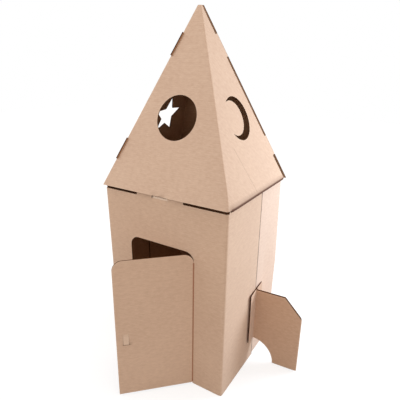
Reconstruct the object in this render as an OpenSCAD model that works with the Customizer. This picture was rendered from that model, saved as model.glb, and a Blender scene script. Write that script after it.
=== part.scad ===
// Rocket playhouse of corrugated card: two folded wall sheets, a door flap, two roof sheets locked
// together along their ridges, and two fins folded double. Millimetres, +Z up, floor at z = 0.
// The door faces -Y and the origin lies on the floor under the middle of the body.

/* [Card] */
// Thickness of the card
card_t = 4; // [3:0.5:6]
// Inside radius of every fold
fold_in = 1; // [0.5:0.5:4]
// Height of the bead along the roof's creases
crease_bead = 0.2; // [0.1:0.05:0.4]
// Clearance where one sheet lies against or passes through another
slip = 0.2; // [0.1:0.1:0.6]

/* [Walls] */
// Width of the body over the front sheet's side walls
body_w = 550; // [480:5:700]
// Depth of the body over its front and back walls
body_d = 500; // [430:5:650]
// Height of the side walls, which carry the roof
wall_h = 786; // [700:1:900]
// Distance of the side seams behind the middle of the body
seam_y = 42; // [-40:1:100]
// Length of the rear sheet that lies inside the front sheet at a seam
seam_lap = 45; // [20:1:70]

/* [Door] */
// Width of the door flap, from its crease to its free edge
door_w = 297; // [220:1:340]
// Height of the door flap
door_h = 592; // [450:1:640]
// Distance of the door's crease to the right of the middle
door_x = 140; // [100:1:200]
// Gap between the door and the floor
door_foot = 5; // [2:1:20]
// Radius of the door's top corners
door_corner_r = 38; // [10:1:80]
// Width of the cut between the door and the wall
door_cut = 1.5; // [0.5:0.1:4]
// Gap left between the two solids along the crease
crease_gap = 0.4; // [0.3:0.1:1]
// Angle at which the door stands open
door_open = 45; // [0:1:150]

/* [Door pull] */
// Width of the pull tab
pull_w = 20; // [12:1:40]
// Height of the pull tab
pull_h = 46; // [25:1:80]
// Height of the pull tab's free lower edge above the floor
pull_z = 240; // [150:1:400]
// Distance of the pull tab's middle from the door's free edge
pull_in = 37; // [25:1:80]
// Distance by which the pull tab's lower edge stands out of the door
pull_lift = 3.5; // [1:0.5:8]
// Width of the cut round the pull tab
pull_cut = 1; // [0.5:0.1:2]

/* [Eave] */
// Height of the open slots between an end wall and the roof
slot_h = 12; // [8:1:20]
// Width of the raised bridge between the two slots
bridge_w = 210; // [120:1:300]
// Distance of the bridge to the right of the middle of its wall
bridge_x = -12; // [-40:1:40]
// Width of the lip that is pushed in to let the roof's tongue through
lip_w = 72; // [40:1:110]
// Height of the lip
lip_h = 10; // [6:1:16]
// Distance of the lip's hinge below the eave
lip_drop = 18; // [14:1:30]
// Distance by which the lip's upper edge is pushed in
lip_push = 5; // [3:0.5:8]
// Length of the roof's tongue below the eave, inside the wall
tongue_len = 55; // [30:1:90]
// Clearance at each end of the roof's tongue
tongue_play = 2; // [0.5:0.5:6]

/* [Roof] */
// Overhang of the eave past the walls
roof_over = 11; // [6:1:20]
// Height of the roof from its eave to the point where its faces would meet
roof_h = 680; // [500:5:850]
// Height cut off the roof's point
tip_cut = 16; // [14:1:40]
// Width of the flange folded under at the side eaves
flange_w = 60; // [30:1:90]
// Distance of the flange's ends from the eave's corners
flange_end = 22; // [16:1:60]
// Distance by which the flange narrows at each end
flange_taper = 25; // [5:1:60]

/* [Ridge tabs] */
// Length of a ridge tab
tab_len = 92; // [50:1:140]
// Distances of the two tabs of a ridge from the eave's corner, measured along the ridge
tab_from = [122, 564]; // [60:1:620]
// Distance by which a tab stands out of the face that it passes through
tab_proud = 6; // [1:0.5:12]

/* [Windows] */
// Radius of the round window and of the crescent's outer arc
window_r = 85; // [60:1:110]
// Distance of the windows' middle from the eave, measured up the face
window_v = 295; // [240:1:340]
// Radius of the crescent's inner arc
bite_r = 68; // [50:1:80]
// Offset of the crescent's inner arc from the window's middle, along the eave and up the face
bite_from = [-24, 4]; // [-35:1:35]
// Radius of the star's points
star_r = 82; // [50:1:95]
// Radius of the star's notches
star_notch_r = 38; // [20:1:48]
// Offset of the star's middle from the window's middle, along the eave and up the face
star_from = [31, -14]; // [-40:1:40]

/* [Fins] */
// Distance of a fin's outer edge from the wall
fin_out = 210; // [150:1:280]
// Height of a fin
fin_h = 346; // [260:1:420]
// Length of a fin's level top edge
fin_top = 132; // [60:1:180]
// Height of a fin's outer edge
fin_shoulder = 272; // [180:1:330]
// Radius of the arch under a fin
arch_r = 96; // [60:1:130]
// Length of a root flange, measured from the fin's middle plane
arm_len = 70; // [45:1:110]
// Distance by which the front flange's free edge lifts off the wall
arm_lift = 4; // [0:0.5:8]
// Rise of a root flange's lower edge towards its free edge
arm_rise = 15; // [0:1:40]
// Radius of a root flange's upper corner
arm_corner_r = 40; // [10:1:44]
// Gap between the two leaves of a fin
leaf_gap = 0.6; // [0.2:0.1:2]

/* [Hidden] */
$fn = 96;

// Colours of the card
kraft = [0.76, 0.60, 0.47];
kraft_door = [0.72, 0.57, 0.45];
kraft_rear = [0.80, 0.66, 0.53];
kraft_roof = [0.82, 0.68, 0.55];
kraft_fin = [0.68, 0.52, 0.41];

// Overshoot of cuts past the surfaces that they open
over = 1;

// Angle by which a bead runs into the leaves on both sides of its crease
bead_lap = 20;

// Folds and walls
fold_r = fold_in + card_t;
front_y = -body_d / 2;
rear_w = body_w - 2 * (card_t + slip);
front_side = body_d / 2 + seam_y;
rear_side = body_d / 2 - seam_y + seam_lap;

// Roof: half sizes of the eave, slopes, lengths and outward normals of an end face and of a side face
eave_x = body_w / 2 + roof_over;
eave_y = body_d / 2 + roof_over;
slope_end = atan2(roof_h, eave_y);
slope_side = atan2(roof_h, eave_x);
slant_end = norm([eave_y, roof_h]);
slant_side = norm([eave_x, roof_h]);
ridge_len = norm([eave_x, eave_y, roof_h]);
normal_end = [0, -sin(slope_end), cos(slope_end)];
normal_side = [sin(slope_side), 0, cos(slope_side)];
ridge_turn = acos(normal_end * normal_side);

// The side eave folds under until its flange lies on the side walls
eave_z = wall_h + fold_r * (1 + cos(slope_side));
end_top = eave_z - slot_h;
bridge_top = eave_z + roof_over * tan(slope_end) - (card_t + slip) / cos(slope_end);

// Lip in the bridge, and the roof's tongue that passes over it
lip_z = eave_z - lip_drop;
lip_top = lip_z + lip_h;
lip_slot_top = eave_z - slip;
tongue_y = front_y + card_t + lip_push + slip;
tongue_w = lip_w - 2 * tongue_play;

// Ridge joints: the butted edge stops at the inside of the covering face, and its tabs pass through notches
butt = (card_t + slip) / sin(ridge_turn);
notch = card_t * sin(ridge_turn) + slip;
tab_out = tab_proud / sin(ridge_turn);
fold_back = fold_r * tan(ridge_turn / 2);

// Doorway left by the door flap
doorway_w = door_w + door_cut;
doorway_h = door_foot + door_h + door_cut;

// Ring sector of a fold, centred on the origin and running anticlockwise from angle a. A bead makes it
// thicker than the card, and lap is the angle by which it then runs on at both ends.
module fold(a, turn, bead = 0, lap = 0) {
  from = a - lap;
  step = (turn + 2 * lap) / 4;
  intersection() {
    difference() {
      circle(fold_r + bead);
      circle(fold_in - bead);
    }
    polygon([[0, 0], for (i = [0:4]) 2 * fold_r * [cos(from + step * i), sin(from + step * i)]]);
  }
}

// Waste outside a round corner of radius r whose two straight sides meet at the origin
module corner_waste(r) {
  difference() {
    translate([-over, -over]) square(r + over);
    translate([r, r]) circle(r);
  }
}

// Flap with round top corners, standing on the x axis with its right side on the y axis
module round_top(w, h, r) {
  difference() {
    translate([-w, 0]) square([w, h]);
    translate([-w, h]) mirror([0, 1]) corner_waste(r);
    translate([0, h]) rotate(180) corner_waste(r);
  }
}

// End wall seen from outside: a level top, the raised bridge and the slot of its lip
module end_wall_outline(width) {
  span = width - 2 * fold_r;
  difference() {
    union() {
      translate([-span / 2, 0]) square([span, end_top]);
      translate([bridge_x - bridge_w / 2, 0]) square([bridge_w, bridge_top]);
    }
    translate([bridge_x - lip_w / 2, lip_z]) square([lip_w, lip_slot_top - lip_z]);
  }
}

// Lip that stays hinged at its lower edge and leans inwards
module lip() {
  translate([bridge_x - lip_w / 2 + slip, 0, 0]) rotate([90, 0, 90]) linear_extrude(lip_w - 2 * slip)
    polygon([
      [front_y, lip_z - over],
      [front_y + card_t, lip_z - over],
      [front_y + card_t, lip_z],
      [front_y + card_t + lip_push, lip_top],
      [front_y + lip_push, lip_top],
      [front_y, lip_z]
    ]);
}

// U-shaped wall sheet: an end wall with its bridge, two folds and two side walls.
// Children are cut from the end wall.
module wall_sheet(width, side_len) {
  translate([0, front_y + card_t, 0]) rotate([90, 0, 0]) linear_extrude(card_t) difference() {
    end_wall_outline(width);
    children();
  }
  lip();
  for (side = [0, 1]) mirror([side, 0, 0]) {
    translate([width / 2 - fold_r, front_y + fold_r, 0]) linear_extrude(end_top) fold(270, 90);
    translate([width / 2 - card_t, front_y + fold_r, 0]) cube([card_t, side_len - fold_r, wall_h]);
  }
}

// Doorway: the door's outline with the cut round it, ending at the crease
module doorway() {
  translate([door_x, -over]) intersection() {
    translate([door_cut, 0]) round_top(doorway_w + door_cut, doorway_h + over, door_corner_r + door_cut);
    translate([-doorway_w, 0]) square([doorway_w, doorway_h + over]);
  }
}

module front_sheet() {
  color(kraft) wall_sheet(body_w, front_side) doorway();
}

module rear_sheet() {
  color(kraft_rear) rotate([0, 0, 180]) wall_sheet(rear_w, rear_side);
}

// Door closed in its own frame: the crease is the z axis and the outer face lies on y = 0
module door_flap() {
  pull_x = pull_in - door_w;
  rotate([90, 0, 0]) translate([0, 0, -card_t]) linear_extrude(card_t) difference() {
    intersection() {
      translate([0, door_foot]) round_top(door_w, door_h, door_corner_r);
      translate([-door_w, 0]) square([door_w - crease_gap, door_foot + door_h]);
    }
    translate([pull_x - pull_w / 2 - pull_cut, pull_z - pull_cut])
      square([pull_w + 2 * pull_cut, pull_h + pull_cut]);
  }
  translate([pull_x - pull_w / 2, 0, 0]) rotate([90, 0, 90]) linear_extrude(pull_w)
    polygon([
      [0, pull_z + pull_h + over],
      [0, pull_z + pull_h],
      [-pull_lift, pull_z],
      [card_t - pull_lift, pull_z],
      [card_t, pull_z + pull_h],
      [card_t, pull_z + pull_h + over]
    ]);
}

module door() {
  color(kraft_door) translate([door_x, front_y, 0]) rotate([0, 0, door_open]) door_flap();
}

// Places a roof face drawn with x along the eave and y up the slope, its outer side up
module on_end_face() {
  translate([0, -eave_y, eave_z]) rotate([slope_end, 0, 0]) translate([0, 0, -card_t]) linear_extrude(card_t)
    children();
}

module on_side_face() {
  translate([eave_x, 0, eave_z]) rotate([slope_side, 0, 90]) translate([0, 0, -card_t]) linear_extrude(card_t)
    children();
}

// Roof face up to the point of the pyramid
module face_outline(half, slant) {
  polygon([[-half, 0], [half, 0], [0, slant]]);
}

// Turns the x axis up a face's left ridge, with y pointing out of the face
module up_left_ridge(half, slant) {
  translate([-half, 0]) rotate(atan2(slant, half)) children();
}

module up_right_ridge(half, slant) {
  mirror([1, 0]) up_left_ridge(half, slant) children();
}

// Strip along a ridge that is taken off for a fold or a butt joint
module ridge_strip(width) {
  translate([-ridge_len, -width]) square([2 * ridge_len, width + over]);
}

// End face: notched along its left ridge, folded at its right ridge. Children are its window.
module end_face() {
  difference() {
    face_outline(eave_x, slant_end);
    up_right_ridge(eave_x, slant_end) ridge_strip(fold_back);
    up_left_ridge(eave_x, slant_end) for (from = tab_from)
      translate([from - slip, -notch]) square([tab_len + 2 * slip, notch + over]);
    children();
  }
}

// Side face: folded at its left ridge, butted and tabbed along its right ridge. Children are its window.
module side_face() {
  difference() {
    face_outline(eave_y, slant_side);
    up_left_ridge(eave_y, slant_side) ridge_strip(fold_back);
    up_right_ridge(eave_y, slant_side) ridge_strip(butt);
    children();
  }
  up_right_ridge(eave_y, slant_side) for (from = tab_from)
    translate([from, -butt - over]) square([tab_len, butt + over + tab_out]);
}

// Fold along the ridge between an end face and the side face on its right
module ridge_fold() {
  across = (normal_side - cos(ridge_turn) * normal_end) / sin(ridge_turn);
  along = cross(normal_end, across);
  start = [eave_x, -eave_y, eave_z] - fold_r * (normal_end + normal_side) / (1 + cos(ridge_turn));
  intersection() {
    multmatrix([
      [normal_end.x, across.x, along.x, start.x],
      [normal_end.y, across.y, along.y, start.y],
      [normal_end.z, across.z, along.z, start.z],
      [0, 0, 0, 1]
    ]) linear_extrude(2 * ridge_len, center = true) fold(0, ridge_turn, crease_bead, bead_lap);
    translate([-body_w, -body_d, eave_z - fold_in]) cube([2 * body_w, 2 * body_d, roof_h]);
  }
}

// Flange folded under along the side eave
module eave_flange() {
  half = eave_y - flange_end;
  axis_x = eave_x - fold_r * sin(slope_side);
  axis_z = eave_z - fold_r * cos(slope_side);
  translate([axis_x, 0, axis_z]) rotate([90, 0, 0]) linear_extrude(2 * half, center = true)
    fold(-90, 180 - slope_side, crease_bead, bead_lap);
  translate([axis_x, 0, wall_h]) linear_extrude(card_t)
    polygon([[0, -half], [0, half], [-flange_w, half - flange_taper], [-flange_w, flange_taper - half]]);
}

// Tongue that is rooted in the front eave, bends in over the lip and hangs inside the wall
module eave_tongue() {
  low = eave_z - tongue_len;
  under = lip_top + slip;
  inwards = card_t * [sin(slope_end), -cos(slope_end)];
  upwards = card_t * [cos(slope_end), sin(slope_end)];
  outer = [-eave_y, eave_z] + inwards / 4;
  inner = outer + inwards / 2;
  translate([bridge_x - tongue_w / 2, 0, 0]) rotate([90, 0, 90]) linear_extrude(tongue_w)
    polygon([
      outer + upwards,
      outer,
      [tongue_y, under],
      [tongue_y, low],
      [tongue_y + card_t, low],
      [tongue_y + card_t, under + card_t],
      inner,
      inner + upwards
    ]);
}

// Roof sheet: an end face and the side face on its right. Child 0 is the end window, child 1 the side window.
module roof_sheet() {
  difference() {
    union() {
      on_end_face() end_face() children(0);
      on_side_face() side_face() children(1);
      ridge_fold();
    }
    translate([-body_w, -body_d, eave_z + roof_h - tip_cut]) cube([2 * body_w, 2 * body_d, roof_h]);
  }
  eave_flange();
  eave_tongue();
}

module round_window() {
  translate([0, window_v]) circle(window_r);
}

module crescent_window() {
  translate([0, window_v]) difference() {
    circle(window_r);
    translate(bite_from) circle(bite_r);
  }
}

module star_window() {
  translate([-star_from.x, window_v + star_from.y])
    polygon([for (i = [0:9]) (i % 2 == 0 ? star_r : star_notch_r) * [sin(36 * i), cos(36 * i)]]);
}

module no_window() {
}

module roof_front_right() {
  color(kraft_roof) roof_sheet() {
    round_window();
    crescent_window();
  }
}

module roof_rear_left() {
  color(kraft_roof) rotate([0, 0, 180]) roof_sheet() {
    no_window();
    star_window();
  }
}

// Root of one leaf in plan: x is the distance from the wall, y runs along the flange, which ends at tip_x
module fin_half_root(tip_x) {
  fold_y = leaf_gap / 2 + fold_r;
  translate([fold_r, fold_y]) fold(180, 90);
  polygon([[0, fold_y], [card_t, fold_y], [tip_x + card_t, arm_len], [tip_x, arm_len]]);
}

// Both leaves of a fin in plan, with the fold at the outer edge
module fin_leaves() {
  end_x = fin_out - card_t - leaf_gap / 2;
  for (side = [0, 1]) mirror([0, side])
    translate([fold_r, leaf_gap / 2]) square([end_x - fold_r, card_t]);
  translate([end_x, 0]) difference() {
    circle(fin_out - end_x);
    circle(leaf_gap / 2);
    translate([-fin_out, -fin_out]) square([fin_out, 2 * fin_out]);
  }
}

// Side view of a leaf: level top, sloping shoulder, foot and arch
module leaf_outline() {
  difference() {
    polygon([[fold_r, 0], [fin_out, 0], [fin_out, fin_shoulder], [fin_top, fin_h], [fold_r, fin_h]]);
    translate([fold_r, 0]) circle(arch_r);
  }
}

// Outline of a root flange, seen square to the wall
module arm_outline() {
  difference() {
    polygon([[0, arch_r], [arm_len, arch_r + arm_rise], [arm_len, fin_h], [0, fin_h]]);
    translate([arm_len, fin_h]) rotate(180) corner_waste(arm_corner_r);
  }
}

// Right fin over the seam. The front flange lifts off the wall, the rear one closes on the inset rear sheet.
module fin() {
  translate([body_w / 2, seam_y, 0]) {
    intersection() {
      linear_extrude(fin_h) fin_leaves();
      rotate([90, 0, 0]) linear_extrude(2 * arm_len, center = true) leaf_outline();
    }
    for (side = [0, 1]) mirror([0, side, 0]) intersection() {
      linear_extrude(fin_h) fin_half_root(side == 1 ? arm_lift : -card_t - slip);
      rotate([90, 0, 90]) linear_extrude(2 * fin_out, center = true) arm_outline();
    }
  }
}

module fin_right() {
  color(kraft_fin) fin();
}

module fin_left() {
  color(kraft_fin) mirror([1, 0, 0]) fin();
}

front_sheet();
door();
rear_sheet();
roof_front_right();
roof_rear_left();
fin_right();
fin_left();
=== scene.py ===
"""Looks of the card rocket playhouse: each sheet is cut flat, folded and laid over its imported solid.

Patterns are in millimetres, as the sheets were cut. Meshes are in metres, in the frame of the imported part.
"""

import bpy
import numpy as np
from mathutils import Matrix
from mathutils.geometry import delaunay_2d_cdt


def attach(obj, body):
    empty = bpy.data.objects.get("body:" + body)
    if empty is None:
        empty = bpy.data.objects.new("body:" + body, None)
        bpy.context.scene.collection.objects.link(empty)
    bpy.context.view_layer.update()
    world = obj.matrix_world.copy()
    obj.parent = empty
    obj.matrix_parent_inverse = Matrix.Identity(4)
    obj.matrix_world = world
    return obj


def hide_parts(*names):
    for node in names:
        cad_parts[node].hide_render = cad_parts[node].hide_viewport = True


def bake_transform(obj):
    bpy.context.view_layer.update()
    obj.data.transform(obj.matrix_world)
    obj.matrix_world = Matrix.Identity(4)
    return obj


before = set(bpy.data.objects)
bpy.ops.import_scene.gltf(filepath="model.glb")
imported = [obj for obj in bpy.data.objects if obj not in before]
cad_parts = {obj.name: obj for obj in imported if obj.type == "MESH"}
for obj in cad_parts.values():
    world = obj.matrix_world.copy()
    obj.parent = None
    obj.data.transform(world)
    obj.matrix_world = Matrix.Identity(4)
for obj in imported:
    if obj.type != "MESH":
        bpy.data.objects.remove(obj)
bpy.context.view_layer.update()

# Card board
MM = 0.001
QUARTER = np.pi / 2
CARD = 4.0
FOLD_R = 5.0
SLIP = 0.2
LINER = 0.42
EDGE_RECESS = 1.5

# Fluting that shows in the cut edges
FLUTE_PITCH, FLUTE_HALF, FLUTE_STEP = 7.5, 0.17, 0.95
FLUTE_FROM, FLUTE_SHORT = 0.12, 0.1

# Triangles of the sheets
GRID, RIM_CLEAR = 14.0, 0.45
FOLD_LINES, BESIDE_FOLD = 5, 4.0
LINE_END, LINE_INSET = 1.0, 0.5
WELD, TINY = 1e-4, 1e-9
SHARP_ANGLE = np.radians(34)

# Body sheets
BODY_W, BODY_D, WALL_H = 550.0, 500.0, 786.0
FRONT_Y = -BODY_D / 2
REAR_W = BODY_W - 2 * (CARD + SLIP)
FRONT_SIDE, REAR_SIDE = 292.0, 253.0
WALL_FOLD_R = 9.0

# Leaning corners: heights, how far out at each of them, and the run along the side wall
FRONT_LEAN = ((450.0, WALL_H), (0.0, 9.0), 200.0)
REAR_LEAN = ((0.0, 400.0, WALL_H), (0.0, 8.5, 3.0), 125.0)

# Side seams: the painted shade line along each seam has a width and an amount, each wave a height, a length and a
# start
SEAM_Y, SEAM_POINTS = 42.0, 41
SEAM_PAINTED_SHADE = (9.0, 1.5)
SEAM_WAVES = ((1.2, 310.0, 0.4), (0.8, 128.0, 2.0))

# Door flap and its crease
DOOR_X, DOOR_W, DOOR_H = 140.0, 297.0, 592.0
DOOR_FOOT, DOOR_R, DOOR_CUT = 5.0, 38.0, 1.5
DOOR_OPEN, DOOR_BOW = np.radians(45), 2.2
FREE_CORNER_PARTS, CREASE_CORNER_PARTS = 9, 8
CREASE_GAP, CREASE_HALF, CREASE_POINTS = 0.4, 3.0, 7
CREASE_FOOT, CREASE_HEAD, CREASE_ROWS = 3.0, 2.0, 30
SKIN_PROUD, SKIN_BACK, BLEND_Z = 0.12, 0.02, 300.0

# Pull tab: the painted shadow under it has a drop, a width and an amount; the painted highlight on it has an amount
# and stops short of its top
PULL_X, PULL_W, PULL_H, PULL_Z = -260.0, 20.0, 46.0, 240.0
PULL_LIFT, PULL_CUT, PULL_FOOT, PULL_EDGE = 3.5, 0.35, 0.6, 0.1
PULL_PAINTED_HIGHLIGHT, PULL_HIGHLIGHT_END = -0.22, 3.0
PULL_PAINTED_SHADOW = (2.8, 3.2, 1.0)

# Roof sheets
EAVE_X, EAVE_Y, ROOF_H, TIP_CUT = 286.0, 261.0, 680.0, 16.0
SLOPE_END, SLOPE_SIDE = np.arctan2(ROOF_H, EAVE_Y), np.arctan2(ROOF_H, EAVE_X)
EAVE_Z = WALL_H + FOLD_R * (1 + np.cos(SLOPE_SIDE))
END_RISE, SIDE_RISE = np.hypot(EAVE_Y, ROOF_H), np.hypot(EAVE_X, ROOF_H)
END_TIP, SIDE_TIP = (ROOF_H - TIP_CUT) / np.sin(SLOPE_END), (ROOF_H - TIP_CUT) / np.sin(SLOPE_SIDE)
BELOW_EAVE = 1e-3
FLANGE_W, FLANGE_END, FLANGE_TAPER = 60.0, 22.0, 25.0
TUCK, TUCK_H, TUCK_W = 7.0, 75.0, 60.0

# Ridges: tabs, gaps below, between and above them, proud edge of the rear sheet, and run below the tip
TAB_LEN, TAB_FROM, TAB_PROUD = 92.0, (122.0, 564.0), 7.5
RIDGE_GAPS, REAR_PROUD, TIP_RUN = (10.0, 3.5, 4.0), 4.0, 60.0

# How far the ridge's fold lines end from the rim, and two places on the line of the level tip
RIDGE_LINE_END = 6.0
TIP_NEAR, TIP_FAR = 20.0, 40.0

# Painted shade on the roof, along the tabs, under the eave folds and in a crease: a width and an amount, with the
# drop below the eave or the ends of the line before them
TAB_PAINTED_SHADE = (3.5, 0.7)
EAVE_PAINTED_SHADES = ((3.0, 10.0, 1.1), (3.0, 26.0, 0.5))
ROOF_CREASE_SHADE = ((-102.0, 192.0), (-32.0, 15.0), 2.5, 0.3)

# Windows in the roof
WINDOW_R, WINDOW_V, WINDOW_PARTS = 85.0, 295.0, 72
BITE_R, BITE_FROM = 67.0, (-28.5, 3.7)
MOON_PARTS, BITE_PARTS = 44, 40
STAR_R, STAR_NOTCH_R, STAR_FROM, STAR_TURN = 83.5, 38.0, (28.0, -17.0), -2.5
STAR_CORNERS = 10

# Front eave: bridge, lip and tongue
BRIDGE_X, BRIDGE_W, BRIDGE_TOP, SLOT_H = -12.0, 210.0, 809.9, 14.0
END_TOP = EAVE_Z - SLOT_H
LIP_W, LIP_H, LIP_DROP, LIP_PUSH = 72.0, 10.0, 18.0, 5.0
LIP_Z = EAVE_Z - LIP_DROP
LIP_TOP = LIP_Z + LIP_H
# Lines across the lip at shares of its height; its upper part carries a painted highlight from a share of its height
# up
LIP_LINES, LIP_PAINTED_HIGHLIGHT, LIP_HIGHLIGHT_FROM = (0.25, 0.5), -0.8, 0.4
TONGUE_Y, TONGUE_W, TONGUE_LEN = -240.8, 68.0, 55.0
TONGUE_START, TONGUE_EASE, TONGUE_THIN = 4.0, 3.0, 0.7

# Fins
FIN_OUT, FIN_H, FIN_TOP, FIN_SHOULDER, FOOT_RISE = 210.0, 346.0, 132.0, 265.0, 7.0
LEAF_GAP, LEAF_DROP, LEAF_STEP = 0.6, 5.5, 1.0
ARCH_R, ARCH_PARTS = 96.0, 14
ARM_LEN, ARM_LIFT, ARM_RISE, ARM_R, ARM_PARTS = 70.0, 6.5, 15.0, 8.0, 8
OUTER_LINES, OUTER_ZONE = 4, 6.0
OUTER_R = CARD + LEAF_GAP / 2
OUTER_X = FIN_OUT - CARD - LEAF_GAP / 2
OUTER_ARC = OUTER_R * QUARTER
LEAF = OUTER_X - FOLD_R
ROOT_ARC = (FOLD_R - CARD / 2) * QUARTER
ROOT = OUTER_ARC + LEAF + ROOT_ARC


# Flat patterns
def bow(cx, cy, r, first, last, parts):
    """Part of a circle: centre plus r times (cosine, sine) of an angle that runs from first to last degrees."""
    a = np.radians(np.linspace(first, last, parts + 1))
    return np.stack([cx + r * np.cos(a), cy + r * np.sin(a)], 1)


def outline(*parts):
    """One closed outline from points and rows of points."""
    return np.concatenate([np.atleast_2d(np.asarray(p, float)) for p in parts])


def unit(rows):
    """Each row divided by its length."""
    return rows / np.maximum(np.linalg.norm(rows, axis=1), TINY)[:, None]


def turned(loop, way):
    """The loop run anticlockwise for way 1 and clockwise for way -1, by the sign of its area."""
    x, y = loop.T
    area = (x * np.roll(y, -1) - np.roll(x, -1) * y).sum()
    return loop if np.sign(area) == way else loop[::-1]


def refine(loop, step):
    """The closed loop with every side cut into equal parts no longer than step."""
    after = np.roll(loop, -1, axis=0)
    parts = np.maximum(1, np.ceil(np.linalg.norm(after - loop, axis=1) / step)).astype(int)
    side = np.repeat(np.arange(len(loop)), parts)
    share = (np.arange(parts.sum()) - (np.cumsum(parts) - parts)[side]) / parts[side]
    return loop[side] + share[:, None] * (after - loop)[side]


def within(points, loops):
    """True where a line to the right of a point crosses the loops an odd number of times."""
    a = np.concatenate(loops)
    b = np.concatenate([np.roll(loop, -1, axis=0) for loop in loops])
    x, y = points[:, :1], points[:, 1:]
    rise = np.where(a[:, 1] == b[:, 1], 1.0, b[:, 1] - a[:, 1])
    at = a[:, 0] + (y - a[:, 1]) * (b[:, 0] - a[:, 0]) / rise
    return (((a[:, 1] > y) != (b[:, 1] > y)) & (x < at)).sum(1) % 2 == 1


def chain(count, closed):
    """Pairs of neighbours in a row of points; a closed row also joins its last point to its first."""
    here = np.arange(count if closed else count - 1)
    return np.stack([here, (here + 1) % count], 1)


def fold_steps(start, arc):
    """Where lines run through a fold: even steps from start over its arc, and one line beside it on each side."""
    steps = start + arc * np.linspace(0, 1, FOLD_LINES)
    return np.concatenate([[start - BESIDE_FOLD], steps, [start + arc + BESIDE_FOLD]])


def cut_flat(loops, lines):
    """Triangles of a flat sheet from its outlines, its fold lines and a square grid of inner points.

    Grid points close to a rim are left out, and so are triangles outside the sheet or in a hole.
    """
    rims = [refine(loop, GRID) for loop in loops]
    rim_points = np.concatenate(rims)
    low, high = rim_points.min(0), rim_points.max(0)
    x, y = np.meshgrid(np.arange(low[0] + GRID / 2, high[0], GRID), np.arange(low[1] + GRID / 2, high[1], GRID))
    grid = np.stack([x.ravel(), y.ravel()], 1)
    near = np.linalg.norm(grid[:, None] - rim_points[None], axis=2).min(1) < RIM_CLEAR * GRID
    grid = grid[within(grid, rims) & ~near]
    folds = [np.linspace(a, b, int(np.ceil(np.hypot(*np.subtract(b, a)) / GRID)) + 1) for a, b in lines]
    rows = rims + folds
    starts = np.cumsum([0] + [len(row) for row in rows])
    edges = [chain(len(row), k < len(rims)) + start for k, (row, start) in enumerate(zip(rows, starts))]
    points = np.concatenate(rows + [grid])
    flat, _, faces, *_ = delaunay_2d_cdt(points.tolist(), np.concatenate(edges).tolist(), [], 0, WELD)
    flat, faces = np.array(flat, float), np.array(faces)
    faces = faces[within(flat[faces].mean(1), rims)]
    kept, faces = np.unique(faces, return_inverse=True)
    return flat[kept], faces.reshape(-1, 3)


def painted_shade_lines(painted_shades):
    """Lines along the middle and both sides of each painted shade line, so that its width holds in the triangles."""
    lines = []
    for a, b, width, _ in painted_shades:
        a, b = np.array(a, float), np.array(b, float)
        side = width * np.array([a[1] - b[1], b[0] - a[0]]) / np.hypot(*(b - a))
        lines += [(a + k * side, b + k * side) for k in (-1, 0, 1)]
    return lines


def painted_light_depth(flat, painted_shades, painted_highlights):
    """How dark (above 0) or pale (below 0) a place is.

    A painted shade line falls off evenly from its middle line to its width; a painted highlight is even between its
    corners.
    """
    depth = np.zeros(len(flat))
    for a, b, width, amount in painted_shades:
        a, run = np.array(a, float), np.subtract(b, a)
        share = np.clip((flat - a) @ run / (run @ run), 0, 1)
        off = np.linalg.norm(flat - a - share[:, None] * run, axis=1)
        depth += amount * np.clip(1 - off / width, 0, 1)
    for low, high, amount in painted_highlights:
        depth += amount * ((flat >= low) & (flat <= high)).all(1)
    return depth


# Meshes, with the numbers of a sheet's four finishes
SKIN, RIM, FLUTE, LINING = range(4)


def halves(quads):
    """Both triangles of each four-sided face."""
    return [quads[:, [0, 1, 2]], quads[:, [0, 2, 3]]]


def new_mesh(name, points, faces, kinds, chart, finish, flip=False):
    """A mesh object from points, groups of triangles with a material number each, and a flat map of the points."""
    which = np.repeat(kinds, [len(f) for f in faces]).astype(np.int32)
    tris = np.concatenate(faces).astype(np.int32)
    tris = tris[:, ::-1] if flip else tris
    mesh = bpy.data.meshes.new(name)
    mesh.vertices.add(len(points))
    mesh.vertices.foreach_set("co", points.astype(np.float32).ravel())
    mesh.loops.add(tris.size)
    mesh.loops.foreach_set("vertex_index", tris.ravel())
    mesh.polygons.add(len(tris))
    mesh.polygons.foreach_set("loop_start", np.arange(0, tris.size, 3, dtype=np.int32))
    mesh.polygons.foreach_set("material_index", which)
    mesh.polygons.foreach_set("use_smooth", np.ones(len(tris), bool))
    flat_map = mesh.uv_layers.new(name="flat_pattern").uv
    flat_map.foreach_set("vector", chart[tris.ravel()].astype(np.float32).ravel())
    mesh.update(calc_edges=True)
    mesh.validate()
    mesh.set_sharp_from_angle(angle=SHARP_ANGLE)
    for material in finish:
        mesh.materials.append(material)
    piece = bpy.data.objects.new(name, mesh)
    bpy.context.scene.collection.objects.link(piece)
    return piece


def fluting(loop):
    """Four rows of a square tube along a cut edge, as places and depths.

    The tube's depth is the middle of the card plus a sine of the way along, with whole waves of about FLUTE_PITCH.
    """
    line = refine(loop, FLUTE_STEP)
    step = np.roll(line, -1, axis=0) - np.roll(line, 1, axis=0)
    left = unit(np.stack([-step[:, 1], step[:, 0]], 1))
    along = np.arange(len(line)) / len(line)
    waves = np.round(len(line) * FLUTE_STEP / FLUTE_PITCH)
    middle = CARD / 2 + (CARD / 2 - LINER - FLUTE_HALF) * np.sin(2 * np.pi * along * waves)
    near, deep = line + FLUTE_FROM * left, line + (EDGE_RECESS - FLUTE_SHORT) * left
    low, high = middle - FLUTE_HALF, middle + FLUTE_HALF
    return [(near, low), (near, high), (deep, high), (deep, low)]


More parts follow.
